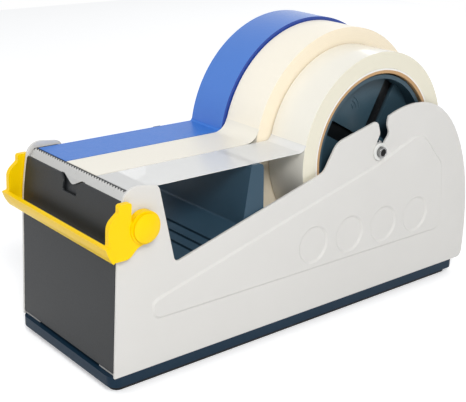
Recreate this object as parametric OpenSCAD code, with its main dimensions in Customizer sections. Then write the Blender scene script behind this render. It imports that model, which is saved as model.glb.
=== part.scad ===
// Bench tape dispenser for three rolls of 24 mm tape on 3-inch cores.
// Steel side plates stand on a weighted plastic base, a serrated blade and its swing-up guard sit at the
// front, and the rolls turn on one lift-out axle at the back.
// Heights are measured from the table, lengths from the lower front edge of the side plates, and
// placed() then moves the whole so that the origin lies under the middle of the base.

/* [Base] */
// Thickness of the base slab
slab_t = 4.8; // [4:0.2:8]
// How far the slab's front edge stands ahead of the side plates
slab_front = 1.2; // [0:0.1:3]
// How far the side plates stand out behind the slab
slab_back = 5.8; // [4:0.1:8]
// Corner radius of the slab
slab_corner = 5; // [2:0.5:10]
// Thickness of the rubber mat under the slab
mat_t = 3.2; // [2:0.2:5]
// Margin between the slab's edge and the mat's edge
mat_inset = 2.9; // [1:0.1:6]

/* [Frame] */
// Room between the outer rolls' hubs and the side plates
side_room = 1.45; // [1.45:0.05:8]
// Thickness of the steel sheet
sheet = 1.2; // [0.8:0.1:2]
// Length of the side plates
frame_len = 231; // [225:1:280]
// Height of the rear lobe of the side plates
lobe_top = 102.9; // [98:0.1:125]
// Height of the front tower of the side plates
tower_top = 92.6; // [92:0.1:96]
// Height of the bottom of the side window
window_z = 53.6; // [50:0.1:58]
// Height of the pressed step around the raised field
emboss = 0.8; // [0.4:0.1:1.2]
// Thickness of the front plate
front_t = 1; // [0.8:0.1:1.6]
// Height of the front plate's upper edge
front_top = 85.9; // [84:0.1:87]

/* [Blade and platform] */
// Height of the tips of the blade's teeth
blade_z = 89.5; // [89.2:0.1:91]
// Distance of the teeth behind the front edge
blade_y = 7.8; // [7:0.1:9]
// Gap between the blade's ends and the side plates
blade_gap = 0.95; // [0.5:0.05:4]
// Thickness of the blade
blade_t = 0.6; // [0.4:0.1:1]
// Pitch of the teeth
tooth = 2; // [1:0.1:3]
// Height at which the tapes rest on the platform and on the rest bar
tape_z = 88.9; // [88:0.1:89]
// Rear edge of the platform
platform_rear = 20.5; // [18:0.5:21]

/* [Bin insert] */
// Wall of the plastic insert
insert_wall = 2.5; // [1.5:0.1:3]
// Front foot of the tape rest bar
rest_front = 69.2; // [60:0.2:72]
// Rear face of the tape rest bar
rest_rear = 81.6; // [78:0.2:86]
// Drop of the bin floor below the edge of the side window
floor_drop = 3.4; // [2:0.1:8]
// Spacing of the three grooves across the floor
groove_pitch = 5; // [4:0.5:7]

/* [Guard] */
// Distance of the guard's pivot behind the front edge
pivot_y = 13.3; // [12:0.1:15]
// Height of the guard's pivot
pivot_z = 74.8; // [73:0.1:76]
// Outer radius of the guard's bar about its pivot
guard_r = 20; // [20:0.1:22]
// Thickness of the guard's bar
guard_t = 2; // [1.6:0.1:2]
// Thickness of the guard's arms
arm_t = 2.5; // [2:0.1:3.5]
// Radius of the pivot studs
stud_r = 2.5; // [2:0.1:3]

/* [Rolls] */
// Width of each tape
tape_w = 24; // [20:0.5:24]
// Distance between the middles of two rolls
roll_pitch = 24.6; // [24.6:0.1:30]
// Distance of the axle behind the front edge
axle_y = 155.2; // [154.8:0.1:156]
// Height of the axle
axle_z = 81.9; // [81:0.1:83]
// Radius of the axle
axle_r = 2.6; // [2:0.1:2.6]
// Inner radius of the cardboard cores
core_r = 38.1; // [30:0.1:38.1]
// Thickness of the cardboard cores
core_t = 2.54; // [1.5:0.01:4]
// Outer radius of the blue roll
blue_r = 58.4; // [45:0.1:58.4]
// Outer radius of the cream roll
cream_r = 56.7; // [45:0.1:58.4]
// Outer radius of the clear roll
clear_r = 48.7; // [45:0.1:58.4]

/* [Hidden] */
$fn = 96;

fit = 0.15;              // gap of a plate between the side plates
run = 0.06;              // radial running clearance on a shaft
hole_gap = 0.05;         // radial gap between a screw and its hole
nest = 0.05;             // gap between two sheets that lie against each other
big = 300;               // longer than the whole object
plate_grey = [0.84, 0.83, 0.81];
front_grey = [0.22, 0.23, 0.24];
navy = [0.11, 0.20, 0.31];
yellow = [0.98, 0.80, 0.0];
steel = [0.75, 0.76, 0.77];
cardboard = [0.78, 0.60, 0.42];

frame_w = 3 * roll_pitch + 2 * side_room + 2 * sheet;
half_w = frame_w / 2;
inner_x = half_w - sheet;          // inner face of a side plate
plate_x = inner_x - fit;           // end of what spans between the side plates
deck_z = mat_t + slab_t;           // top of the base slab
base_len = slab_front + frame_len - slab_back;
base_mid = base_len / 2 - slab_front;
blade_w = 2 * (inner_x - blade_gap);

// Front edge of the side plates: a straight lean, then a curve backwards.
lean = 0.034;
bend_z = 61.5;
bend_k = 0.0035;
function front_y(z) = lean * (z - deck_z) + bend_k * pow(max(0, z - bend_z), 2);
front_steps = [for (i = [0 : 8]) bend_z + (tower_top - bend_z) * i / 8];

// Upper edge of the side window, which the bin floor follows.
window_y = 31.1;
window_slope = 0.281;
function window_edge(y) = window_z + window_slope * (y - window_y);

// Rear lobe: a parabola up to its top, then a superellipse down to the foot.
lobe_y = 180;
lobe_foot = 17.2;
lobe_k = 0.0103;
lobe_power = 2.2;
lobe_run = frame_len - lobe_y;
lobe_rise = lobe_top - lobe_foot;
function lobe_front(y) = lobe_top - lobe_k * pow(lobe_y - y, 2);
function lobe_rear(a) = [lobe_y + lobe_run * pow(sin(a), 2 / lobe_power),
                         lobe_foot + lobe_rise * pow(cos(a), 2 / lobe_power)];

// Slot for the axle: its round pocket holds the axle's bush.
bush_r = 4.45;
pocket_r = bush_r + hole_gap;

// A closed outline whose corners [y, z, radius] are rounded by arcs.
function unit(v) = v / norm(v);
function arc_at(p, a, b, r, steps) =
    let (u = unit(a - p), v = unit(b - p), half = acos(u * v) / 2,
         c = p + unit(u + v) * r / sin(half),
         s = p + u * r / tan(half) - c, e = p + v * r / tan(half) - c,
         a0 = atan2(s[1], s[0]), turn = (atan2(e[1], e[0]) - a0 + 540) % 360 - 180)
    [for (i = [0 : steps]) c + r * [cos(a0 + turn * i / steps), sin(a0 + turn * i / steps)]];
function flat(p) = [p[0], p[1]];
function rounded(pts, steps = 6) =
    let (n = len(pts))
    [for (i = [0 : n - 1])
        each pts[i][2] == 0 ? [flat(pts[i])]
            : arc_at(flat(pts[i]), flat(pts[(i + n - 1) % n]), flat(pts[(i + 1) % n]), pts[i][2], steps)];

side_outline = concat(
    [[0, deck_z, 0]],
    [for (z = front_steps) if (z < tower_top - 8) [front_y(z), z, 0]],
    [[5.6, tower_top, 7],
     [22.4, tower_top - 2.2, 3.5],
     [window_y, window_z, 2.5],
     [117.6, window_edge(117.6), 6],
     [axle_y - 29.7, axle_z + 9.3, 9],
     [axle_y - 2.6, axle_z + 16, 3],
     [axle_y - 0.2, axle_z + 9.2, 3],
     [axle_y - 2.9, axle_z + 3.4, 0],
     [axle_y + 2.9, axle_z + 3.4, 0],
     [axle_y + 6.7, axle_z + 8.2, 3],
     [axle_y + 4.4, axle_z + 12.6, 4],
     [axle_y + 5, lobe_front(axle_y + 5), 1.2]],
    [for (i = [1 : 5]) let (y = axle_y + 5 + (lobe_y - axle_y - 5) * i / 6) [y, lobe_front(y), 0]],
    [for (i = [0 : 16]) let (p = lobe_rear(90 * i / 16)) [p[0], p[1], 0]],
    [[frame_len - 0.4, deck_z, 3.5]]
);

field_foot = 29.7;
field_rear = frame_len - 21.1;
field_outline = [
    [18.9, field_foot + 9.5, 4], [18.9, field_foot, 5], [field_rear, field_foot, 6],
    [field_rear - 4.4, 67, 12], [lobe_y + 6, 88.2, 13], [axle_y - 0.7, axle_z - 6.1, 30]
];
field_circle_r = 8.5;
field_circles = [for (i = [0 : 3]) [112.8 + 24.5 * i, field_foot + 12.9]];

// A profile drawn in length and height, drawn out across the width.
module across(x0, x1) translate([x0, 0, 0]) rotate([90, 0, 90]) linear_extrude(x1 - x0) children();
module placed() translate([0, -base_mid, 0]) children();
module mirrored() {
    children();
    mirror([1, 0, 0]) children();
}
// A rod along the width, from x0 to x1, at a point of the side view.
module rod(x0, x1, y, z, r) translate([x0, y, z]) rotate([0, 90, 0]) cylinder(h = x1 - x0, r = r);
module ring(x0, x1, y, z, r_out, r_in) difference() {
    rod(x0, x1, y, z, r_out);
    rod(x0 - 1, x1 + 1, y, z, r_in);
}
module rounded_plate(x_half, y0, y1, r, h) linear_extrude(h)
    polygon(rounded([[-x_half, y0, r], [x_half, y0, r], [x_half, y1, r], [-x_half, y1, r]]));

// Sizes that several pieces share: the front frame, the foot of the rear cover and the front of the insert.
frame_top = 70;
frame_return = 9;
cover_foot = 14;
insert_front = front_y(frame_top) + front_t + frame_return + 0.5;

// ---- base ----
screw_r = 1.5;
head_r = 2.9;
head_t = 1.6;
rail_w = 12;
rail_from = 12;
rail_to = frame_len - cover_foot - 5;
rail_screw_x = inner_x - rail_w / 2;
rail_screws = [rail_from + 12, (rail_from + rail_to) / 2, rail_to - 12];
insert_screw_y = (rest_front + rest_rear) / 2 + 1;
insert_screw_x = 18;
ballast_screw_y = 38;
ballast_screw_x = 16;

// A pan-head screw driven upwards from the underside of the slab.
module screw_up(length) translate([0, 0, mat_t]) {
    cylinder(h = head_t, r = head_r);
    cylinder(h = length, r = screw_r);
}
module screw_way() translate([0, 0, mat_t - 1]) {
    cylinder(h = head_t + 1, r = head_r + 0.3);
    cylinder(h = slab_t + 2, r = screw_r + hole_gap);
}
module at_rail_screws() for (x = [-rail_screw_x, rail_screw_x], y = rail_screws) translate([x, y, 0]) children();
module at_insert_screws() for (x = [-insert_screw_x, insert_screw_x]) translate([x, insert_screw_y, 0]) children();
module at_ballast_screws() for (x = [-ballast_screw_x, ballast_screw_x])
    translate([x, ballast_screw_y, 0]) children();

module base_slab() color(navy) placed() difference() {
    translate([0, 0, mat_t])
        rounded_plate(half_w, -slab_front, base_len - slab_front, slab_corner, slab_t);
    at_rail_screws() screw_way();
    at_insert_screws() screw_way();
    at_ballast_screws() screw_way();
}
module rubber_mat() color([0.08, 0.08, 0.09]) placed()
    rounded_plate(half_w - mat_inset, mat_inset - slab_front, base_len - slab_front - mat_inset,
                  slab_corner - mat_inset / 2, mat_t);
module base_screws() color(steel) placed() at_rail_screws() screw_up(slab_t + sheet + 2);
module insert_screws() color(steel) placed() at_insert_screws() screw_up(slab_t + 9);
module ballast_screws() color(steel) placed() at_ballast_screws() screw_up(slab_t + 8);

module base_rails() color(plate_grey) placed() difference() {
    mirrored() translate([inner_x - rail_w, rail_from, deck_z]) {
        cube([rail_w, rail_to - rail_from, sheet]);
        translate([rail_w - sheet, 0, 0]) cube([sheet, rail_to - rail_from, rail_w]);
    }
    at_rail_screws() translate([0, 0, deck_z - 1]) cylinder(h = sheet + 2, r = screw_r + hole_gap);
}

ballast_y0 = insert_front + insert_wall + 0.5;
ballast_y1 = rest_front - 7;
ballast_h = 28;
ballast_half = 24;
module ballast() color([0.30, 0.30, 0.31]) placed() difference() {
    translate([-ballast_half, ballast_y0, deck_z])
        cube([2 * ballast_half, ballast_y1 - ballast_y0, ballast_h]);
    at_ballast_screws() translate([0, 0, deck_z - 1]) cylinder(h = 12, r = screw_r + hole_gap);
}

// ---- side plates ----
module side_plate() difference() {
    union() {
        across(inner_x, half_w) polygon(rounded(side_outline));
        across(inner_x + emboss, half_w + emboss) field();
    }
    across(inner_x - 1, inner_x + emboss) field();
    rod(inner_x - 1, half_w + 2, axle_y, axle_z, pocket_r);
    rod(inner_x - 1, half_w + 2, pivot_y, pivot_z, stud_r + hole_gap);
}
module field() difference() {
    polygon(rounded(field_outline));
    for (c = field_circles) translate(c) circle(r = field_circle_r);
}
module side_plate_right() color(plate_grey) placed() side_plate();
module side_plate_left() color(plate_grey) placed() mirror([1, 0, 0]) side_plate();

// ---- front ----
// A strip that follows the front edge, from one height to another, set back by `back`.
function edge_points(z0, z1, back) = concat(
    [[front_y(z0) + back, z0]],
    [for (z = [40 : 2 : tower_top]) if (z > z0 + 0.5 && z < z1 - 0.5) [front_y(z) + back, z]],
    [[front_y(z1) + back, z1]]
);
function turned(list) = [for (i = [len(list) - 1 : -1 : 0]) list[i]];
module front_strip(z0, z1, back, t)
    polygon(concat(edge_points(z0, z1, back), turned(edge_points(z0, z1, back + t))));
front_gap = 1.8;           // the front frame's feet show this much below the front plate
thumb_half = 5.5;
thumb_top_half = 8;
thumb_z = 79.1;
module front_face() polygon(rounded([
    [-plate_x, deck_z + front_gap, 0.8], [plate_x, deck_z + front_gap, 0.8],
    [plate_x, front_top, 1], [thumb_top_half, front_top, 2.2], [thumb_half, front_top - 2.6, 1.5],
    [thumb_half, thumb_z, 0.8], [-thumb_half, thumb_z, 0.8],
    [-thumb_half, front_top - 2.6, 1.5], [-thumb_top_half, front_top, 2.2], [-plate_x, front_top, 1]
]));
module front_plate() color(front_grey) placed() intersection() {
    across(-plate_x, plate_x) front_strip(deck_z + front_gap, front_top, 0, front_t);
    translate([0, big / 2, 0]) rotate([90, 0, 0]) linear_extrude(big) front_face();
}

foot_x = 25.5;
frame_cut = 6;
frame_back = front_t + nest;
module front_frame() color(plate_grey) placed() difference() {
    union() {
        across(-plate_x, plate_x) front_strip(deck_z, frame_top, frame_back, sheet);
        mirrored() across(plate_x - sheet, plate_x) front_strip(deck_z, frame_top, frame_back, frame_return);
    }
    translate([-foot_x, -5, deck_z - 1]) cube([2 * foot_x, 12, frame_cut + 1]);
}

// ---- rear cover ----
cover_from = 52;           // degrees along the lobe's curve where the cover's upper edge lies
cover_steps = 12;
cover_angles = [for (i = [0 : cover_steps]) cover_from + (90 - cover_from) * i / cover_steps];
module rear_cover() color(plate_grey) placed() across(-plate_x, plate_x) polygon(concat(
    [for (a = cover_angles) lobe_rear(a)],
    [[frame_len - 0.6, deck_z], [frame_len - cover_foot, deck_z], [frame_len - cover_foot, deck_z + sheet],
     [frame_len - 0.6 - sheet, deck_z + sheet]],
    [for (i = [cover_steps : -1 : 0]) lobe_rear(cover_angles[i]) - [sheet, 0.3]]
));

// ---- platform and blade ----
knee_z = 85.5;             // the blade leans back above this height
lip_bottom = 77;
blade_bottom = 79;
tongue_z = 83.2;
tongue_top_half = 7;
tongue_tip_half = 1.6;
slit_half = 9.5;
tooth_h = 1;
blade_back = front_t + nest;          // set-back of the blade's front face from the front edge
lip_back = blade_back + blade_t + nest;

module blade_side() polygon(concat(
    edge_points(blade_bottom, knee_z, blade_back),
    [[blade_y, blade_z], [blade_y + blade_t, blade_z]],
    turned(edge_points(blade_bottom, knee_z, blade_back + blade_t))
));
teeth = floor(blade_w / tooth);
module blade_face() difference() {
    polygon(concat(
        [[-blade_w / 2, blade_bottom], [blade_w / 2, blade_bottom], [blade_w / 2, blade_z - tooth_h]],
        [for (i = [0 : teeth - 1]) each [
            [blade_w / 2 - tooth * (i + 0.5), blade_z],
            [blade_w / 2 - tooth * (i + 1), blade_z - tooth_h]]],
        [[-blade_w / 2, blade_z - tooth_h]]
    ));
    for (s = [-1, 1]) polygon([[s * slit_half, blade_bottom - 1], [s * slit_half, front_top],
        [s * tongue_top_half, front_top], [s * tongue_tip_half, tongue_z], [0, tongue_z - 0.4],
        [0, blade_bottom - 1]]);
}
blade_screw_x = [-30, -17, 17, 30];
blade_screw_z = 81.5;
blade_screw_r = 1;
blade_head_r = 1.9;
blade_head_t = 1.4;
blade_lean = atan(lean + 2 * bend_k * (blade_screw_z - bend_z));
module at_blade_screws() for (x = blade_screw_x)
    translate([x, front_y(blade_screw_z) + blade_back, blade_screw_z])
        rotate([-90 - blade_lean, 0, 0]) children();
module blade_screw_way() at_blade_screws()
    translate([0, 0, -2]) cylinder(h = 8, r = blade_screw_r + hole_gap);
module blade() color(steel) placed() difference() {
    intersection() {
        across(-blade_w / 2, blade_w / 2) blade_side();
        translate([0, big / 2, 0]) rotate([90, 0, 0]) linear_extrude(big) blade_face();
    }
    blade_screw_way();
}

module tape_platform() color(front_grey) placed() difference() {
    across(-plate_x, plate_x) polygon(concat(
        edge_points(lip_bottom, knee_z, lip_back),
        [[blade_y + blade_t + 0.1, tape_z], [platform_rear, tape_z], [platform_rear, lip_bottom],
         [platform_rear - sheet, lip_bottom], [platform_rear - sheet, tape_z - sheet],
         [blade_y + blade_t + 1, tape_z - sheet]],
        turned(edge_points(lip_bottom, knee_z, lip_back + sheet))
    ));
    blade_screw_way();
}
blade_stack = blade_t + nest + sheet;  // what a blade screw clamps
module blade_screws() color(steel) placed() at_blade_screws() {
    cylinder(h = blade_stack + nest + 0.5, r = blade_screw_r);
    translate([0, 0, blade_stack + nest]) cylinder(h = blade_head_t, r = blade_head_r);
}

// ---- bin insert ----
rest_lean = 0.15;
rest_bevel = 1.2;
rest_round = 2.5;
rest_x = inner_x - 0.2;
groove_w = 1.5;
groove_d = 1.4;
groove_first = 44.4;
floor_angle = atan(window_slope);
rail_clear = 0.4;
boss_r = 3.5;
function floor_z(y) = window_edge(y) - floor_drop;
rest_top_y = rest_front + rest_lean * (tape_z - floor_z(rest_front));
module insert_side(w) polygon(rounded([
    [insert_front + w, w > 0 ? deck_z - 1 : deck_z, 0],
    [insert_front + w, floor_z(insert_front) - w, 0],
    [rest_front + w, floor_z(rest_front) - w, w > 0 ? 0 : 1.2],
    [rest_top_y - rest_lean * rest_bevel + w, tape_z - rest_bevel - w, 0],
    [rest_top_y + rest_bevel + w / 2, tape_z - w, 0],
    [rest_rear - 1 - w, tape_z - w, w > 0 ? 0.5 : rest_round],
    [rest_rear - w, floor_z(rest_front), 0],
    [rest_rear - w, w > 0 ? deck_z - 1 : deck_z, 0]
]));
module bin_insert() color(navy) placed() difference() {
    union() {
        difference() {
            across(-rest_x, rest_x) insert_side(0);
            across(insert_wall - rest_x, rest_x - insert_wall) insert_side(insert_wall);
        }
        at_insert_screws() translate([0, 0, deck_z]) cylinder(h = tape_z - insert_wall / 2 - deck_z, r = boss_r);
    }
    for (i = [0 : 2]) translate([0, groove_first + groove_pitch * i, floor_z(groove_first + groove_pitch * i)])
        rotate([floor_angle, 0, 0]) translate([-rest_x - 1, -groove_w / 2, -groove_d])
            cube([2 * rest_x + 2, groove_w, 2 * groove_d]);
    mirrored() translate([inner_x - rail_w - rail_clear, 0, 0])
        cube([rail_w + 1, rest_rear + 1, deck_z + rail_w + rail_clear]);
    at_insert_screws() translate([0, 0, deck_z - 1]) cylinder(h = 12, r = screw_r + hole_gap);
}

// ---- guard ----
washer_t = 0.5;
arm_x = half_w + washer_t;         // inner face of the arms
boss_x = arm_x + arm_t + 0.8;      // outer face of the boss
guard_boss_r = 7.2;
cap_r = 6.3;
cap_t = 2.4;
bar_from = 195.5;                  // the bar's band about the pivot, in degrees
bar_to = 218;
bar_over = 1;                      // the bar's ends stand this far outside the arms
stud_head_r = 4;
stud_head_t = 1.2;
nut_r = 4.6;
nut_t = 3.2;

function about_pivot(r, a) = [pivot_y + r * cos(a), pivot_z + r * sin(a)];
module guard_arm() polygon(rounded([
    [pivot_y - 12.3, pivot_z + 11.8, 1.2], [pivot_y - 6.2, pivot_z + 11.8, 1.2],
    [pivot_y - 6.6, pivot_z + 3.6, 1.2], [pivot_y - 2, pivot_z + 2, 0], [pivot_y + 2, pivot_z - 6.8, 0],
    [pivot_y - 3.4, pivot_z - 8.2, 5], [pivot_y - 7.5, pivot_z - 12.4, 5],
    [pivot_y - 15.2, pivot_z - 12.3, 2], [pivot_y - 18.6, pivot_z - 7, 1.5],
    [pivot_y - 17.4, pivot_z - 4, 1], [pivot_y - 17.2, pivot_z + 4.4, 6],
    [pivot_y - 12.4, pivot_z + 8.4, 1]
]));
module guard_bar() {
    angles = [for (i = [0 : 8]) bar_from + (bar_to - bar_from) * i / 8];
    polygon(concat([for (a = angles) about_pivot(guard_r, a)],
                   [for (i = [8 : -1 : 0]) about_pivot(guard_r - guard_t, angles[i])]));
}
module guard() color(yellow) placed() difference() {
    union() {
        mirrored() {
            across(arm_x, arm_x + arm_t) guard_arm();
            rod(arm_x, boss_x, pivot_y, pivot_z, guard_boss_r);
        }
        across(-arm_x - arm_t - bar_over, arm_x + arm_t + bar_over) guard_bar();
    }
    mirrored() rod(arm_x - 1, boss_x + 1, pivot_y, pivot_z, stud_r + run);
    mirrored() rod(boss_x - stud_head_t - 0.2, boss_x + 1, pivot_y, pivot_z, stud_head_r + 0.3);
}
module guard_caps() color(yellow) placed() mirrored() difference() {
    translate([boss_x, pivot_y, pivot_z]) rotate([0, 90, 0]) {
        cylinder(h = cap_t / 2, r = cap_r);
        translate([0, 0, cap_t / 2]) intersection() {
            cylinder(h = cap_t / 2, r = cap_r);
            translate([0, 0, cap_t / 2 - 17]) sphere(r = 17);
        }
    }
    rod(boss_x - 1, boss_x + 0.6, pivot_y, pivot_z, stud_head_r + 0.3);
}
module pivot_studs() color(steel) placed() mirrored() {
    rod(inner_x - nut_t - 1, boss_x - stud_head_t, pivot_y, pivot_z, stud_r);
    rod(boss_x - stud_head_t, boss_x, pivot_y, pivot_z, stud_head_r);
}
module pivot_nuts() color(steel) placed() mirrored() difference() {
    translate([inner_x - nut_t, pivot_y, pivot_z]) rotate([0, 90, 0]) cylinder(h = nut_t, r = nut_r, $fn = 6);
    rod(inner_x - nut_t - 1, inner_x + 1, pivot_y, pivot_z, stud_r + hole_gap);
}
module guard_washers() color("white") placed() mirrored()
    ring(half_w, arm_x - hole_gap, pivot_y, pivot_z, 5.5, stud_r + run);

// ---- axle ----
axle_over = 2.8;                   // the axle's ends stand this far outside the side plates
clip_t = 0.8;
clip_x = 1.5 * roll_pitch + 0.15;  // inner face of a retaining clip
groove_r = axle_r - 0.5;
plug_r = axle_r - 0.8;
plug_len = 3;
module axle() color(steel) placed() difference() {
    rod(-half_w - axle_over, half_w + axle_over, axle_y, axle_z, axle_r);
    mirrored() ring(clip_x - hole_gap, clip_x + clip_t + hole_gap, axle_y, axle_z, axle_r + 1, groove_r);
    mirrored() rod(half_w + axle_over - plug_len, half_w + axle_over + 1, axle_y, axle_z, plug_r);
}
module axle_bushes() color([0.86, 0.86, 0.84]) placed() mirrored()
    ring(clip_x + clip_t + 0.3, half_w + 1, axle_y, axle_z, bush_r, axle_r + run);
module axle_clips() color(steel) placed() mirrored() difference() {
    ring(clip_x, clip_x + clip_t, axle_y, axle_z, 5.2, groove_r + 0.02);
    translate([clip_x - 1, axle_y - 1.2, axle_z]) cube([clip_t + 2, 2.4, 8]);
}
module axle_plugs() color([0.05, 0.05, 0.05]) placed() mirrored()
    rod(half_w + axle_over - plug_len, half_w + axle_over, axle_y, axle_z, plug_r);

// ---- rolls ----
hub_recess = 1.5;                  // the hub's rim lies this far inside the tape's edge
hub_gap = 0.8;                     // between the rim and the core, bridged by the grip ribs
hub_rim = 2;
pad_recess = 8.7;                  // the four pads of the hub's face lie this far inside the tape's edge
web_half = 0.7;
channel_w = 7.6;
channel_angle = 61.5;
hub_boss_r = 7;
grip_ribs = 8;
rib_w = 2;
rib_inset = 2;             // the ribs' ends lie this far inside the tape's edge
rim_r = core_r - hub_gap;
blue_x = -roll_pitch;
cream_x = 0;
clear_x = roll_pitch;

module at_roll(x) placed() translate([x, axle_y, axle_z]) rotate([0, 90, 0]) children();
// A hub about its own axis: rim, two faces of four pads parted by a cross-shaped channel, and a boss.
module hub() difference() {
    union() {
        difference() {
            cylinder(h = tape_w - 2 * hub_recess, r = rim_r, center = true);
            cylinder(h = tape_w, r = rim_r - hub_rim, center = true);
        }
        difference() {
            cylinder(h = tape_w - 2 * pad_recess, r = rim_r - hub_rim / 2, center = true);
            for (s = [-1, 1], q = [0, 90]) rotate([0, 0, channel_angle + q])
                translate([-rim_r, -channel_w / 2, s > 0 ? web_half : -tape_w - web_half])
                    cube([2 * rim_r, channel_w, tape_w]);
        }
        cylinder(h = roll_pitch - 0.3, r = hub_boss_r, center = true);
        for (i = [0 : grip_ribs - 1]) rotate([0, 0, 360 * i / grip_ribs + 10])
            translate([rim_r - hub_rim / 2, -rib_w / 2, rib_inset - tape_w / 2])
                cube([hub_rim / 2 + hub_gap - 0.05, rib_w, tape_w - 2 * rib_inset]);
    }
    cylinder(h = 2 * roll_pitch, r = axle_r + run, center = true);
}
module tube(r_out, r_in) difference() {
    cylinder(h = tape_w, r = r_out, center = true);
    cylinder(h = tape_w + 2, r = r_in, center = true);
}
module core() tube(core_r + core_t, core_r);
module blue_hub() color(navy) at_roll(blue_x) hub();
module blue_core() color(cardboard) at_roll(blue_x) core();
module blue_roll() color([0.16, 0.36, 0.76]) at_roll(blue_x) tube(blue_r, core_r + core_t);
module cream_hub() color(navy) at_roll(cream_x) hub();
module cream_core() color(cardboard) at_roll(cream_x) core();
module cream_roll() color([0.93, 0.87, 0.76]) at_roll(cream_x) tube(cream_r, core_r + core_t);
module clear_hub() color(navy) at_roll(clear_x) hub();
module clear_core() color(cardboard) at_roll(clear_x) core();
module clear_roll() color([0.90, 0.88, 0.82, 0.9]) at_roll(clear_x) tube(clear_r, core_r + core_t);

// ---- tape strips, from the blade to the rolls ----
strip_t = 0.25;
strip_gap = 0.3;
strip_back = 1.5;          // the tapes are torn this far behind the teeth
strip_start = blade_y + blade_t + strip_back;
function strip_end(r) = axle_y - sqrt(pow(r + strip_gap, 2) - pow(tape_z - axle_z, 2));
module strip(x, r) placed() translate([x - tape_w / 2, strip_start, tape_z])
    cube([tape_w, strip_end(r) - strip_start, strip_t]);
module blue_strip() color([0.42, 0.58, 0.88]) strip(blue_x, blue_r);
module cream_strip() color([0.98, 0.95, 0.89]) strip(cream_x, cream_r);
module clear_strip() color([0.90, 0.90, 0.90, 0.8]) strip(clear_x, clear_r);

side_plate_right();
side_plate_left();
front_plate();
front_frame();
rear_cover();
base_rails();
base_slab();
rubber_mat();
base_screws();
ballast();
ballast_screws();
bin_insert();
insert_screws();
tape_platform();
blade();
blade_screws();
pivot_studs();
pivot_nuts();
guard_washers();
blue_strip();
cream_strip();
clear_strip();
guard();
guard_caps();
axle();
axle_bushes();
axle_clips();
axle_plugs();
blue_hub();
blue_core();
blue_roll();
cream_hub();
cream_core();
cream_roll();
clear_hub();
clear_core();
clear_roll();
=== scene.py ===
from math import asin, atan2, cos, degrees, pi, radians, sin

import bpy
from mathutils import Matrix, Vector


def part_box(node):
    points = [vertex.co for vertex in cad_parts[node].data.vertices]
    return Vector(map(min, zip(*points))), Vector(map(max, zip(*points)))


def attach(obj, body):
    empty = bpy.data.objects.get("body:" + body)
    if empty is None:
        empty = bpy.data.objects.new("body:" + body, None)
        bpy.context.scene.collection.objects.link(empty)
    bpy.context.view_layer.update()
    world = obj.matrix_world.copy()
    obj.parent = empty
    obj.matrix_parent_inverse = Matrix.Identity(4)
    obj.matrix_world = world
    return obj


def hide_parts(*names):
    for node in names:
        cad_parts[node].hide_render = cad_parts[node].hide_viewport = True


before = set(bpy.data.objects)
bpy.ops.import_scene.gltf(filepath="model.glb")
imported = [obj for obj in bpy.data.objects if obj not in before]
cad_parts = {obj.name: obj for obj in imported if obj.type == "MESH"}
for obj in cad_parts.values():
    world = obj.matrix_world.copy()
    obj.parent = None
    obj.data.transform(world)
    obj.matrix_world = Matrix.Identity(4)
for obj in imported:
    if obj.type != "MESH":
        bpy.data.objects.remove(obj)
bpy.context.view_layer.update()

# ---- Table, sky and lamps ----
# The dispenser stands on a plain pale table in soft studio light.
# A small key lamp stands high at the right front, a wide one fills from the left front, the widest
# lights the back, and the sky does the rest.
scene = bpy.context.scene
scene.view_settings.view_transform = "Standard"

view_turn, view_rise, view_roll = radians(49.718), radians(19.67), radians(1.806)
view_back = Vector((sin(view_turn) * cos(view_rise), -cos(view_turn) * cos(view_rise),
                    sin(view_rise)))
view_right = Vector((cos(view_turn), sin(view_turn), 0))
view_up = view_back.cross(view_right)
rolled_right = cos(view_roll) * view_right + sin(view_roll) * view_up
rolled_up = -sin(view_roll) * view_right + cos(view_roll) * view_up
camera_data = bpy.data.cameras.new("camera")
camera_data.sensor_width = 36
camera_data.lens = 76.77
camera_data.clip_start = 0.01
camera = bpy.data.objects.new("camera", camera_data)
turn = Matrix((rolled_right, rolled_up, view_back)).transposed().to_4x4()
camera.matrix_world = Matrix.Translation((0.350898, -0.313806, 0.221051)) @ turn
scene.collection.objects.link(camera)
scene.camera = camera


def seen_directly(tree):
    path = tree.nodes.new("ShaderNodeLightPath")
    either = tree.nodes.new("ShaderNodeMath")
    either.operation = "MAXIMUM"
    tree.links.new(path.outputs["Is Camera Ray"], either.inputs[0])
    tree.links.new(path.outputs["Is Transmission Ray"], either.inputs[1])
    third = tree.nodes.new("ShaderNodeMath")
    third.operation = "MAXIMUM"
    tree.links.new(either.outputs[0], third.inputs[0])
    tree.links.new(path.outputs["Is Glossy Ray"], third.inputs[1])
    return third.outputs[0]


world = bpy.data.worlds.new("studio")
scene.world = world
world.use_nodes = True
sky = world.node_tree
sky.nodes.clear()
sky_light = sky.nodes.new("ShaderNodeBackground")
sky_light.inputs["Color"].default_value = (0.95, 0.97, 1, 1)
sky_light.inputs["Strength"].default_value = 0.42
sky_white = sky.nodes.new("ShaderNodeBackground")
sky_white.inputs["Color"].default_value = (1, 1, 1, 1)
sky_mix = sky.nodes.new("ShaderNodeMixShader")
sky_out = sky.nodes.new("ShaderNodeOutputWorld")
sky.links.new(seen_directly(sky), sky_mix.inputs[0])
sky.links.new(sky_light.outputs[0], sky_mix.inputs[1])
sky.links.new(sky_white.outputs[0], sky_mix.inputs[2])
sky.links.new(sky_mix.outputs[0], sky_out.inputs[0])


def soft_lamp(name, place, aim, width, watts):
    data = bpy.data.lights.new(name, "AREA")
    data.shape = "SQUARE"
    data.size = width
    data.energy = watts
    lamp = bpy.data.objects.new(name, data)
    lamp.location = place
    lamp.rotation_euler = (Vector(aim) - Vector(place)).to_track_quat("-Z", "Y").to_euler()
    scene.collection.objects.link(lamp)


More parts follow.
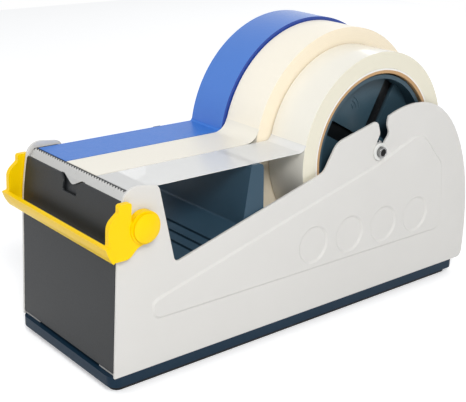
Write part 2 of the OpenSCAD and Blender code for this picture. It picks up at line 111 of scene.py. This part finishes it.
soft_lamp("key_lamp", (0.75, -0.4, 0.7), (0, 0, 0.05), 0.3, 6.8)
soft_lamp("front_lamp", (-0.45, -0.85, 0.7), (0, 0, 0.05), 0.6, 2.2)
soft_lamp("rear_lamp", (-0.4, 0.9, 0.8), (0, 0, 0.05), 0.8, 3.0)

bpy.ops.object.select_all(action="DESELECT")
bpy.ops.mesh.primitive_plane_add(size=1.8)
table = bpy.context.object
table.name = "table"
table_look = bpy.data.materials.new("pale_table")
table_look.use_nodes = True
tree = table_look.node_tree
tree.nodes.clear()
table_paint = tree.nodes.new("ShaderNodeBsdfDiffuse")
table_paint.inputs["Color"].default_value = (0.86, 0.86, 0.86, 1)
table_lift = tree.nodes.new("ShaderNodeEmission")
table_dim = tree.nodes.new("ShaderNodeMath")
table_dim.operation = "MULTIPLY"
table_dim.inputs[1].default_value = 0.38
tree.links.new(seen_directly(tree), table_dim.inputs[0])
tree.links.new(table_dim.outputs[0], table_lift.inputs["Strength"])
table_add = tree.nodes.new("ShaderNodeAddShader")
tree.links.new(table_paint.outputs[0], table_add.inputs[0])
tree.links.new(table_lift.outputs[0], table_add.inputs[1])
table_out = tree.nodes.new("ShaderNodeOutputMaterial")
tree.links.new(table_add.outputs[0], table_out.inputs[0])
table.data.materials.append(table_look)

# ---- Side plates ----
# Two plates of 1.2 mm steel with a pressed raised field, four round dimples kept back in it, and an
# open slot for the axle. They are powder coated light warm grey and their cut edges are rounded.
mm = 0.001


def coating(name, colour, rough, grain=1600, bump=0.12, tint=0.06, metal=0.0, coat=0.0, blotch=35,
            shine=0.3):
    """A surface with fine grain, soft changes of tone and slightly uneven gloss."""
    look = bpy.data.materials.new(name)
    look.use_nodes = True
    tree = look.node_tree
    shader = tree.nodes["Principled BSDF"]
    shader.inputs["Metallic"].default_value = metal
    shader.inputs["Coat Weight"].default_value = coat
    shader.inputs["Specular IOR Level"].default_value = shine
    place = tree.nodes.new("ShaderNodeTexCoord")
    clouds = tree.nodes.new("ShaderNodeTexNoise")
    clouds.inputs["Scale"].default_value = blotch
    clouds.inputs["Detail"].default_value = 5
    tree.links.new(place.outputs["Object"], clouds.inputs["Vector"])
    tone = tree.nodes.new("ShaderNodeMix")
    tone.data_type = "RGBA"
    tone.inputs["A"].default_value = (*[c * (1 - tint) for c in colour], 1)
    tone.inputs["B"].default_value = (*[min(1, c * (1 + tint)) for c in colour], 1)
    tree.links.new(clouds.outputs["Fac"], tone.inputs["Factor"])
    tree.links.new(tone.outputs["Result"], shader.inputs["Base Color"])
    fine = tree.nodes.new("ShaderNodeTexNoise")
    fine.inputs["Scale"].default_value = grain
    fine.inputs["Detail"].default_value = 3
    tree.links.new(place.outputs["Object"], fine.inputs["Vector"])
    gloss = tree.nodes.new("ShaderNodeMapRange")
    gloss.inputs["To Min"].default_value = max(0.02, rough - 0.06)
    gloss.inputs["To Max"].default_value = min(1, rough + 0.06)
    tree.links.new(fine.outputs["Fac"], gloss.inputs["Value"])
    tree.links.new(gloss.outputs["Result"], shader.inputs["Roughness"])
    relief = tree.nodes.new("ShaderNodeBump")
    relief.inputs["Strength"].default_value = bump
    relief.inputs["Distance"].default_value = 0.1 * mm
    tree.links.new(fine.outputs["Fac"], relief.inputs["Height"])
    tree.links.new(relief.outputs["Normal"], shader.inputs["Normal"])
    return look


def only(piece):
    """Makes the piece the one that the next operators work on."""
    bpy.ops.object.select_all(action="DESELECT")
    bpy.context.view_layer.objects.active = piece
    piece.select_set(True)


def edit(piece):
    only(piece)
    bpy.ops.object.mode_set(mode="EDIT")
    bpy.ops.mesh.select_all(action="DESELECT")


def pick(piece, test):
    """Selects the faces whose middle and normal pass the test."""
    bpy.ops.mesh.select_mode(type="FACE")
    bpy.ops.object.mode_set(mode="OBJECT")
    for face in piece.data.polygons:
        face.select = test(face.center, face.normal)
    bpy.ops.object.mode_set(mode="EDIT")


def done(piece, look, body, angle=40, nodes=()):
    """Smooth shading, one look, and the body and nodes that the piece stands for."""
    if piece.mode == "EDIT":
        bpy.ops.object.mode_set(mode="OBJECT")
    only(piece)
    bpy.ops.object.shade_smooth_by_angle(angle=radians(angle))
    even = piece.modifiers.new("even", "WEIGHTED_NORMAL")
    even.keep_sharp = True
    bpy.ops.object.modifier_apply(modifier="even")
    piece.data.materials.clear()
    piece.data.materials.append(look)
    if nodes:
        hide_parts(*nodes)
    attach(piece, body)
    return piece


def made_from(node, name):
    """A merged copy of a node's mesh, with its flat faces whole again."""
    piece = bpy.data.objects.new(name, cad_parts[node].data.copy())
    piece.data.name = name
    scene.collection.objects.link(piece)
    edit(piece)
    bpy.ops.mesh.select_all(action="SELECT")
    bpy.ops.mesh.remove_doubles(threshold=0.002 * mm)
    bpy.ops.mesh.dissolve_limited(angle_limit=radians(0.4))
    bpy.ops.object.mode_set(mode="OBJECT")
    return piece


def rounded_edges(piece, width, steps=2, angle=35):
    """Rounds every edge that is sharper than the angle."""
    only(piece)
    edge = piece.modifiers.new("edge", "BEVEL")
    edge.width = width
    edge.segments = steps
    edge.limit_method = "ANGLE"
    edge.angle_limit = radians(angle)
    bpy.ops.object.modifier_apply(modifier="edge")
    return piece


plate_coat = coating("light_grey_powder_coat", (0.69, 0.675, 0.645), 0.42, 1500, 0.22, 0.03)
field_slope = 1.1 * mm
hair = 0.01 * mm
field_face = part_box("side_plate_right")[1][0]
for side, node in ((1, "side_plate_right"), (-1, "side_plate_left")):
    plate = made_from(node, node + "_pressed")
    heights = sorted({round(side * corner.co.x / mm, 2) for corner in plate.data.vertices})
    plate_face = heights[-2] * mm
    edit(plate)
    pick(plate, lambda c, n: side * c.x > field_face - hair and abs(n.x) > 0.9)
    bpy.ops.mesh.inset(thickness=field_slope, depth=0, use_even_offset=True)
    bpy.ops.object.mode_set(mode="OBJECT")
    top = set()
    for face in plate.data.polygons:
        if face.select:
            top.update(face.vertices)
    edit(plate)
    bpy.ops.mesh.select_mode(type="VERT")
    bpy.ops.object.mode_set(mode="OBJECT")
    for corner in plate.data.vertices:
        corner.select = side * corner.co.x > field_face - hair and corner.index not in top
    bpy.ops.object.mode_set(mode="EDIT")
    bpy.ops.transform.translate(value=(side * (plate_face - field_face), 0, 0))
    bpy.ops.mesh.select_all(action="SELECT")
    bpy.ops.mesh.remove_doubles(threshold=hair)
    bpy.ops.object.mode_set(mode="OBJECT")
    rounded_edges(plate, 0.38 * mm, 3, 20)
    done(plate, plate_coat, "frame", 50, [node])

# ---- Front plate ----
# A thin steel cover in satin charcoal that follows the curve of the front edge, with a thumb notch
# at the top behind which the blade's tongue shows.
charcoal_coat = coating("charcoal_powder_coat", (0.016, 0.018, 0.02), 0.45, 1300, 0.25, 0.1,
                        shine=0.32)
front = rounded_edges(made_from("front_plate", "front_cover"), 0.22 * mm, 2)
done(front, charcoal_coat, "frame", 30, ["front_plate"])

# ---- Front frame, rear cover and base rails ----
# Folded steel pieces between the side plates, coated like them: the frame stiffens the front, the
# cover closes the back, and the rails carry the screws into the base.
for node, name, width in (
        ("front_frame", "front_stiffener", 0.25), ("rear_cover", "rear_skin", 0.3),
        ("base_rails", "foot_rails", 0.25)):
    folded = rounded_edges(made_from(node, name), width * mm, 2)
    done(folded, plate_coat, "frame", 35, [node])

# ---- Base slab and mat ----
# The slab is a moulded dark blue plate with softly rounded edges. A rubber mat is glued to its
# underside, and pan-head screws come up through it.
navy_plastic = coating("dark_blue_plastic", (0.007, 0.024, 0.046), 0.45, 1800, 0.2, 0.07,
                       shine=0.15)
mat_rubber = coating("black_rubber", (0.018, 0.018, 0.02), 0.8, 900, 0.4, 0.15)
bright_steel = coating("bright_screw_steel", (0.6, 0.6, 0.61), 0.28, 2500, 0.08, 0.06, metal=1.0)
iron = coating("rough_cast_iron", (0.07, 0.07, 0.075), 0.7, 500, 0.8, 0.2, metal=0.6)
slab = rounded_edges(made_from("base_slab", "moulded_slab"), 0.7 * mm, 3)
done(slab, navy_plastic, "frame", 40, ["base_slab"])
mat = rounded_edges(made_from("rubber_mat", "foot_mat"), 0.4 * mm, 2)
done(mat, mat_rubber, "frame", 40, ["rubber_mat"])
for node, look in (
        ("base_screws", bright_steel), ("ballast_screws", bright_steel), ("ballast", iron),
        ("insert_screws", bright_steel), ("pivot_nuts", bright_steel),
        ("blade_screws", bright_steel), ("pivot_studs", bright_steel)):
    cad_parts[node].data.materials.clear()
    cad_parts[node].data.materials.append(look)

# ---- Bin insert ----
# One moulded piece: a sloping bin floor with three grooves and the high rest bar over which the
# tapes run. It is the slab's dark blue plastic, painted a lighter, greyer slate all over for the
# light on the bin floor.
# Painted light: the whole insert is lighter and greyer than the slab's blue, standing for the light
# that falls into the bin.
lit_insert_plastic = coating("slate_blue_plastic_painted_light", (0.032, 0.07, 0.105), 0.42, 1700, 0.22, 0.1,
                         blotch=28, shine=0.25)
insert = rounded_edges(made_from("bin_insert", "bin_moulding"), 0.5 * mm, 3)
done(insert, lit_insert_plastic, "frame", 40, ["bin_insert"])

# ---- Platform and blade ----
# The platform is a folded charcoal sheet on which the tape ends stick. The blade is bright spring
# steel with stamped teeth, screwed to the platform's lip. Its V tongue shows in the thumb notch.
platform = rounded_edges(made_from("tape_platform", "stick_platform"), 0.3 * mm, 2)
done(platform, charcoal_coat, "frame", 30, ["tape_platform"])


def brushed(name, colour, rough, across, stretch):
    """Steel with fine parallel grinding lines along one direction."""
    look = coating(name, colour, rough, 900, 0.05, 0.04, metal=1.0)
    tree = look.node_tree
    shader = tree.nodes["Principled BSDF"]
    place = tree.nodes.new("ShaderNodeTexCoord")
    squeeze = tree.nodes.new("ShaderNodeMapping")
    squeeze.inputs["Scale"].default_value = stretch
    tree.links.new(place.outputs["Object"], squeeze.inputs["Vector"])
    lines = tree.nodes.new("ShaderNodeTexNoise")
    lines.inputs["Scale"].default_value = across
    lines.inputs["Detail"].default_value = 4
    tree.links.new(squeeze.outputs["Vector"], lines.inputs["Vector"])
    relief = tree.nodes.new("ShaderNodeBump")
    relief.inputs["Strength"].default_value = 0.2
    relief.inputs["Distance"].default_value = 0.05 * mm
    tree.links.new(lines.outputs["Fac"], relief.inputs["Height"])
    tree.links.new(relief.outputs["Normal"], shader.inputs["Normal"])
    return look


blade_steel = brushed("ground_blade_steel", (0.5, 0.5, 0.49), 0.3, 1200, (1, 0.05, 0.05))
blade = rounded_edges(made_from("blade", "toothed_blade"), 0.06 * mm, 1)
done(blade, blade_steel, "frame", 25, ["blade"])

# ---- Guard ----
# The swing guard is glossy yellow plastic: two cranked arms joined by a bar before the blade. Domed
# caps cover the pivot studs, and white nylon washers keep the arms off the plates.
guard_yellow = coating("glossy_yellow_plastic", (0.98, 0.64, 0.0), 0.32, 900, 0.05, 0.03,
                       coat=0.04, shine=0.15)
nylon = coating("natural_nylon", (0.74, 0.74, 0.71), 0.4, 1200, 0.1, 0.04)
guard = rounded_edges(made_from("guard", "swing_guard"), 0.5 * mm, 3)
done(guard, guard_yellow, "guard", 40, ["guard"])
caps = rounded_edges(made_from("guard_caps", "pivot_caps"), 0.45 * mm, 3)
done(caps, guard_yellow, "guard", 40, ["guard_caps"])
washers = made_from("guard_washers", "spacer_washers")
done(washers, nylon, "frame", 40, ["guard_washers"])

# ---- Axle ----
# A turned steel tube with nylon bushes that sit in the plates' pockets, spring clips that hold the
# hubs together, and black plastic plugs in its ends.
axle_steel = brushed("turned_axle_steel", (0.3, 0.3, 0.3), 0.26, 1500, (1, 0.1, 0.1))
plug_plastic = coating("black_plug_plastic", (0.006, 0.006, 0.006), 0.5, 1500, 0.15, 0.1,
                       shine=0.12)
for node, name, width, look, slot in (
        ("axle", "axle_tube", 0.2, axle_steel, "steel"),
        ("axle_bushes", "end_bushes", 0.35, nylon, "nylon"),
        ("axle_clips", "spring_clips", 0.1, bright_steel, "steel"),
        ("axle_plugs", "end_plugs", 0.25, plug_plastic, "plug")):
    turned = rounded_edges(made_from(node, name), width * mm, 2)
    done(turned, look, "axle", 40, [node])

# ---- Hubs ----
# Each roll turns on a moulded hub: a rim with small grip ribs, four deep pads parted by a cross
# channel, and a central boss that runs on the axle.


def hub_with_painted_channel_shade(name, middle_x):
    """Slate pads and rim, with painted shade: the colour goes nearly black in the cross channel,
    where its floor lies in shadow.
    """
    look = coating(name, (0.034, 0.07, 0.095), 0.36, 1500, 0.2, 0.12, blotch=60, shine=0.35)
    tree = look.node_tree
    shader = tree.nodes["Principled BSDF"]
    place = tree.nodes.new("ShaderNodeTexCoord")
    split = tree.nodes.new("ShaderNodeSeparateXYZ")
    tree.links.new(place.outputs["Object"], split.inputs[0])
    away = tree.nodes.new("ShaderNodeMath")
    away.operation = "SUBTRACT"
    away.inputs[1].default_value = middle_x
    tree.links.new(split.outputs["X"], away.inputs[0])
    size = tree.nodes.new("ShaderNodeMath")
    size.operation = "ABSOLUTE"
    tree.links.new(away.outputs[0], size.inputs[0])
    # Painted shade: nearly black within 1.2 mm of the hub's middle, fading back to slate by 2.8 mm,
    # for the shadow in the cross channel.
    channel_shade = tree.nodes.new("ShaderNodeMapRange")
    channel_shade.inputs["From Min"].default_value = 1.2 * mm
    channel_shade.inputs["From Max"].default_value = 2.8 * mm
    tree.links.new(size.outputs[0], channel_shade.inputs["Value"])
    both = tree.nodes.new("ShaderNodeMix")
    both.data_type = "RGBA"
    both.inputs["A"].default_value = (0.003, 0.004, 0.005, 1)
    tree.links.new(channel_shade.outputs["Result"], both.inputs["Factor"])
    tree.links.new(shader.inputs["Base Color"].links[0].from_socket, both.inputs["B"])
    tree.links.new(both.outputs["Result"], shader.inputs["Base Color"])
    return look


hub_look = {}
for tape in ("blue", "cream", "clear"):
    low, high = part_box(tape + "_roll")
    hub_look[tape] = hub_with_painted_channel_shade(tape + "_hub_plastic_painted_channel_shade", (low[0] + high[0]) / 2)
    hub = rounded_edges(made_from(tape + "_hub", tape + "_wheel_hub"), 0.45 * mm, 2)
    done(hub, hub_look[tape], tape + "_wheel", 40, [tape + "_hub"])

# ---- Hub marks ----
# Three short raised arcs on one pad of each hub face, moulded in one with the hub. They show which
# way the hub goes into its core.
axle_low, axle_high = (Vector(p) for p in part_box("axle"))
axle_y = (axle_low.y + axle_high.y) / 2
axle_z = (axle_low.z + axle_high.z) / 2
pad_depth = 8.7 * mm
mark_turn = radians(118)
mark_out = 23 * mm
mark_arc = 70
mark_thick = 0.35 * mm
for tape in ("blue", "cream", "clear"):
    low, high = (Vector(p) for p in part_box(tape + "_roll"))
    for name, x in (("right", high.x - pad_depth), ("left", low.x + pad_depth)):
        for number, reach in enumerate((2.2, 4.2, 6.2)):
            bpy.ops.object.select_all(action="DESELECT")
            middle = (x, axle_y + mark_out * cos(mark_turn), axle_z + mark_out * sin(mark_turn))
            bpy.ops.mesh.primitive_torus_add(
                location=middle, rotation=(0, pi / 2, 0), major_radius=reach * mm,
                minor_radius=mark_thick, major_segments=48, minor_segments=8)
            mark = bpy.context.object
            mark.name = f"{tape}_hub_mark_{name}_{number + 1}"
            bpy.ops.object.transform_apply(location=True, rotation=True, scale=True)
            edit(mark)
            pick(mark, lambda c, n:
                 degrees(atan2(c.z - middle[2], c.y - middle[1])) % 360 > mark_arc)
            bpy.ops.mesh.delete(type="FACE")
            bpy.ops.mesh.select_all(action="SELECT")
            bpy.ops.mesh.select_mode(type="EDGE")
            bpy.ops.mesh.region_to_loop()
            bpy.ops.mesh.edge_face_add()
            done(mark, hub_look[tape], tape + "_wheel", 50)

# ---- Cardboard cores and tape rolls ----
# Every roll is film wound on a spiral card tube. The sides show the edges of the many layers, so
# they are a little darker than the face and carry fine rings.
def trace(name, points):
    """A run of edges drawn corner by corner."""
    bpy.ops.object.select_all(action="DESELECT")
    bpy.ops.mesh.primitive_plane_add(size=mm)
    piece = bpy.context.object
    piece.name = name
    bpy.ops.object.mode_set(mode="EDIT")
    bpy.ops.mesh.select_mode(type="VERT")
    bpy.ops.mesh.select_all(action="SELECT")
    bpy.ops.mesh.merge(type="CENTER")
    bpy.ops.mesh.select_all(action="SELECT")
    bpy.ops.transform.translate(value=points[0])
    for a, b in zip(points, points[1:]):
        step = Vector(b) - Vector(a)
        bpy.ops.mesh.extrude_region_move(TRANSFORM_OT_translate={"value": step})
    return piece


def turned_piece(name, profile, steps=240):
    """A closed profile of (x, radius) corners turned about the axle."""
    points = [(x, axle_y, axle_z + r) for x, r in profile + profile[:1]]
    piece = trace(name, points)
    bpy.ops.mesh.select_all(action="SELECT")
    bpy.ops.mesh.spin(steps=steps, angle=2 * pi, center=(0, axle_y, axle_z), axis=(1, 0, 0))
    bpy.ops.mesh.select_all(action="SELECT")
    bpy.ops.mesh.remove_doubles(threshold=hair)
    bpy.ops.mesh.normals_make_consistent(inside=False)
    bpy.ops.object.mode_set(mode="OBJECT")
    return piece


def wound(name, face, side, rough, ring_scale, contrast, coat=0.0):
    """Film on its face, and the ringed edges of its layers where the surface looks sideways."""
    look = coating(name, face, rough, 700, 0.06, 0.03, coat=coat, blotch=30)
    tree = look.node_tree
    shader = tree.nodes["Principled BSDF"]
    place = tree.nodes.new("ShaderNodeTexCoord")
    centre = tree.nodes.new("ShaderNodeMapping")
    centre.inputs["Location"].default_value = (0, -axle_y, -axle_z)
    tree.links.new(place.outputs["Object"], centre.inputs["Vector"])
    flat = tree.nodes.new("ShaderNodeVectorMath")
    flat.operation = "MULTIPLY"
    flat.inputs[1].default_value = (0, 1, 1)
    tree.links.new(centre.outputs["Vector"], flat.inputs[0])
    radius = tree.nodes.new("ShaderNodeVectorMath")
    radius.operation = "LENGTH"
    tree.links.new(flat.outputs[0], radius.inputs[0])
    layers = tree.nodes.new("ShaderNodeTexNoise")
    layers.noise_dimensions = "1D"
    layers.inputs["Scale"].default_value = ring_scale
    layers.inputs["Detail"].default_value = 6
    layers.inputs["Roughness"].default_value = 0.7
    tree.links.new(radius.outputs["Value"], layers.inputs["W"])
    rings = tree.nodes.new("ShaderNodeMix")
    rings.data_type = "RGBA"
    rings.inputs["A"].default_value = (*[c * (1 - contrast) for c in side], 1)
    rings.inputs["B"].default_value = (*[min(1, c * (1 + contrast)) for c in side], 1)
    tree.links.new(layers.outputs["Fac"], rings.inputs["Factor"])
    facing = tree.nodes.new("ShaderNodeNewGeometry")
    split = tree.nodes.new("ShaderNodeSeparateXYZ")
    tree.links.new(facing.outputs["True Normal"], split.inputs[0])
    size = tree.nodes.new("ShaderNodeMath")
    size.operation = "ABSOLUTE"
    tree.links.new(split.outputs["X"], size.inputs[0])
    step = tree.nodes.new("ShaderNodeMath")
    step.operation = "GREATER_THAN"
    step.inputs[1].default_value = 0.7
    tree.links.new(size.outputs[0], step.inputs[0])
    both = tree.nodes.new("ShaderNodeMix")
    both.data_type = "RGBA"
    tree.links.new(step.outputs[0], both.inputs["Factor"])
    tree.links.new(shader.inputs["Base Color"].links[0].from_socket, both.inputs["A"])
    tree.links.new(rings.outputs["Result"], both.inputs["B"])
    tree.links.new(both.outputs["Result"], shader.inputs["Base Color"])
    relief = tree.nodes.new("ShaderNodeBump")
    relief.inputs["Strength"].default_value = 0.35
    relief.inputs["Distance"].default_value = 0.12 * mm
    tree.links.new(layers.outputs["Fac"], relief.inputs["Height"])
    tree.links.new(relief.outputs["Normal"], shader.inputs["Normal"])
    return look


def crepe(look, depth):
    """Fine wrinkles that run across the width of a crepe paper tape."""
    tree = look.node_tree
    shader = tree.nodes["Principled BSDF"]
    place = tree.nodes.new("ShaderNodeTexCoord")
    squeeze = tree.nodes.new("ShaderNodeMapping")
    squeeze.inputs["Scale"].default_value = (0.25, 1, 1)
    tree.links.new(place.outputs["Object"], squeeze.inputs["Vector"])
    wrinkles = tree.nodes.new("ShaderNodeTexNoise")
    wrinkles.inputs["Scale"].default_value = 1300
    wrinkles.inputs["Detail"].default_value = 3
    tree.links.new(squeeze.outputs["Vector"], wrinkles.inputs["Vector"])
    relief = tree.nodes.new("ShaderNodeBump")
    relief.inputs["Strength"].default_value = depth
    relief.inputs["Distance"].default_value = 0.15 * mm
    tree.links.new(wrinkles.outputs["Fac"], relief.inputs["Height"])
    before = shader.inputs["Normal"].links[0].from_node
    tree.links.new(relief.outputs["Normal"], before.inputs["Normal"])
    return look


card_board = wound("spiral_card", (0.42, 0.27, 0.14), (0.52, 0.32, 0.16), 0.85, 3500, 0.25)
film = {
    "blue": wound("blue_film", (0.062, 0.2, 0.62), (0.02, 0.06, 0.33), 0.32, 5000, 0.3, coat=0.2),
    "cream": wound("cream_film", (0.95, 0.89, 0.76), (0.92, 0.81, 0.63), 0.35, 4500, 0.1),
    "clear": wound("clear_film_roll", (0.86, 0.83, 0.74), (0.78, 0.74, 0.6), 0.2, 5000, 0.12,
                   coat=0.3),
}
crepe(film["blue"], 0.5)
crepe(film["cream"], 0.5)
liner = coating("white_liner_paper", (0.85, 0.83, 0.78), 0.6, 1500, 0.15, 0.03)
liner_thick = 0.9 * mm
core_in = 38.1 * mm
core_steps = 128
soft = 0.25 * mm
sliver = 0.05 * mm
bore_in = 0.1 * mm
bore_rise = 0.5 * mm
rim_in = 0.12 * mm
rim_drop = 0.3 * mm
for tape in ("blue", "cream", "clear"):
    low, high = (Vector(p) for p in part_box(tape + "_roll"))
    x0, x1, roll_r = low.x, high.x, (high.z - low.z) / 2
    core_low, core_high = (Vector(p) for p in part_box(tape + "_core"))
    core_r = (core_high.z - core_low.z) / 2
    core = turned_piece(tape + "_card_tube", [
        (x0 + soft, core_in), (x1 - soft, core_in), (x1, core_in + soft),
        (x1, core_r - liner_thick),
        (x0, core_r - liner_thick), (x0, core_in + soft)], core_steps)
    paper = turned_piece(tape + "_core_liner", [
        (x0, core_r - liner_thick), (x1, core_r - liner_thick), (x1, core_r - sliver),
        (x0, core_r - sliver)], core_steps)
    done(paper, liner, tape + "_wheel")
    done(core, card_board, tape + "_wheel", 40, [tape + "_core"])
    roll = turned_piece(tape + "_tape_roll", [
        (x0 + bore_in, core_r), (x1 - bore_in, core_r), (x1 - sliver, core_r + bore_rise),
        (x1, roll_r - rim_drop), (x1 - rim_in, roll_r), (x0 + rim_in, roll_r),
        (x0, roll_r - rim_drop), (x0 + sliver, core_r + bore_rise)])
    done(roll, film[tape], tape + "_wheel", 40, [tape + "_roll"])

# ---- Tape strips ----
# The loose ends run level from the rolls over the rest bar and stick to the platform behind the
# blade. Each film peels off its roll in its own curve: the blue one in a crease, the cream one in
# a round bow.
strip_thick = 0.25 * mm
peel_gap = 0.12 * mm
level_steps, bow_steps, cross_steps = 12, 10, 6
strip_look = {
    "blue": coating("blue_film_strip", (0.045, 0.19, 0.62), 0.36, 500, 0.05, 0.04,
                    coat=0.05, blotch=25, shine=0.2),
    "cream": coating("cream_film_strip", (0.88, 0.84, 0.74), 0.35, 500, 0.05, 0.02, blotch=25),
    "clear": coating("clear_film_strip", (0.93, 0.93, 0.915), 0.22, 400, 0.06, 0.03,
                     coat=0.2, blotch=25),
}
crepe(strip_look["blue"], 0.55)
crepe(strip_look["cream"], 0.55)
strip_look["clear"].node_tree.nodes["Principled BSDF"].inputs["Alpha"].default_value = 0.72
for tape, bow in (("blue", 1.2 * mm), ("cream", 8 * mm), ("clear", 3.5 * mm)):
    low, high = (Vector(p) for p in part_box(tape + "_strip"))
    roll_low, roll_high = (Vector(p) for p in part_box(tape + "_roll"))
    roll_r = (roll_high.z - roll_low.z) / 2
    z = high.z
    lean = asin((z + 0.75 * bow - axle_z) / roll_r)
    sweep = pi / 2 - lean
    bow_y = axle_y - (roll_r + peel_gap) * cos(lean) - bow * sin(sweep)
    path = [(low.x, low.y + (bow_y - low.y) * i / level_steps, z) for i in range(level_steps + 1)]
    for i in range(1, bow_steps + 1):
        bent = sweep * i / bow_steps
        path.append((low.x, bow_y + bow * sin(bent), z + bow * (1 - cos(bent))))
    strip = trace(tape + "_loose_end", path)
    bpy.ops.mesh.select_all(action="SELECT")
    for i in range(cross_steps):
        across = (high.x - low.x) / cross_steps
        bpy.ops.mesh.extrude_region_move(TRANSFORM_OT_translate={"value": (across, 0, 0)})
    bpy.ops.mesh.select_all(action="SELECT")
    bpy.ops.mesh.normals_make_consistent(inside=False)
    bpy.ops.object.mode_set(mode="OBJECT")
    wall = strip.modifiers.new("wall", "SOLIDIFY")
    wall.thickness = strip_thick
    wall.offset = -1 if strip.data.polygons[0].normal.z > 0 else 1
    bpy.ops.object.modifier_apply(modifier="wall")
    done(strip, strip_look[tape], "frame", 40, [tape + "_strip"])
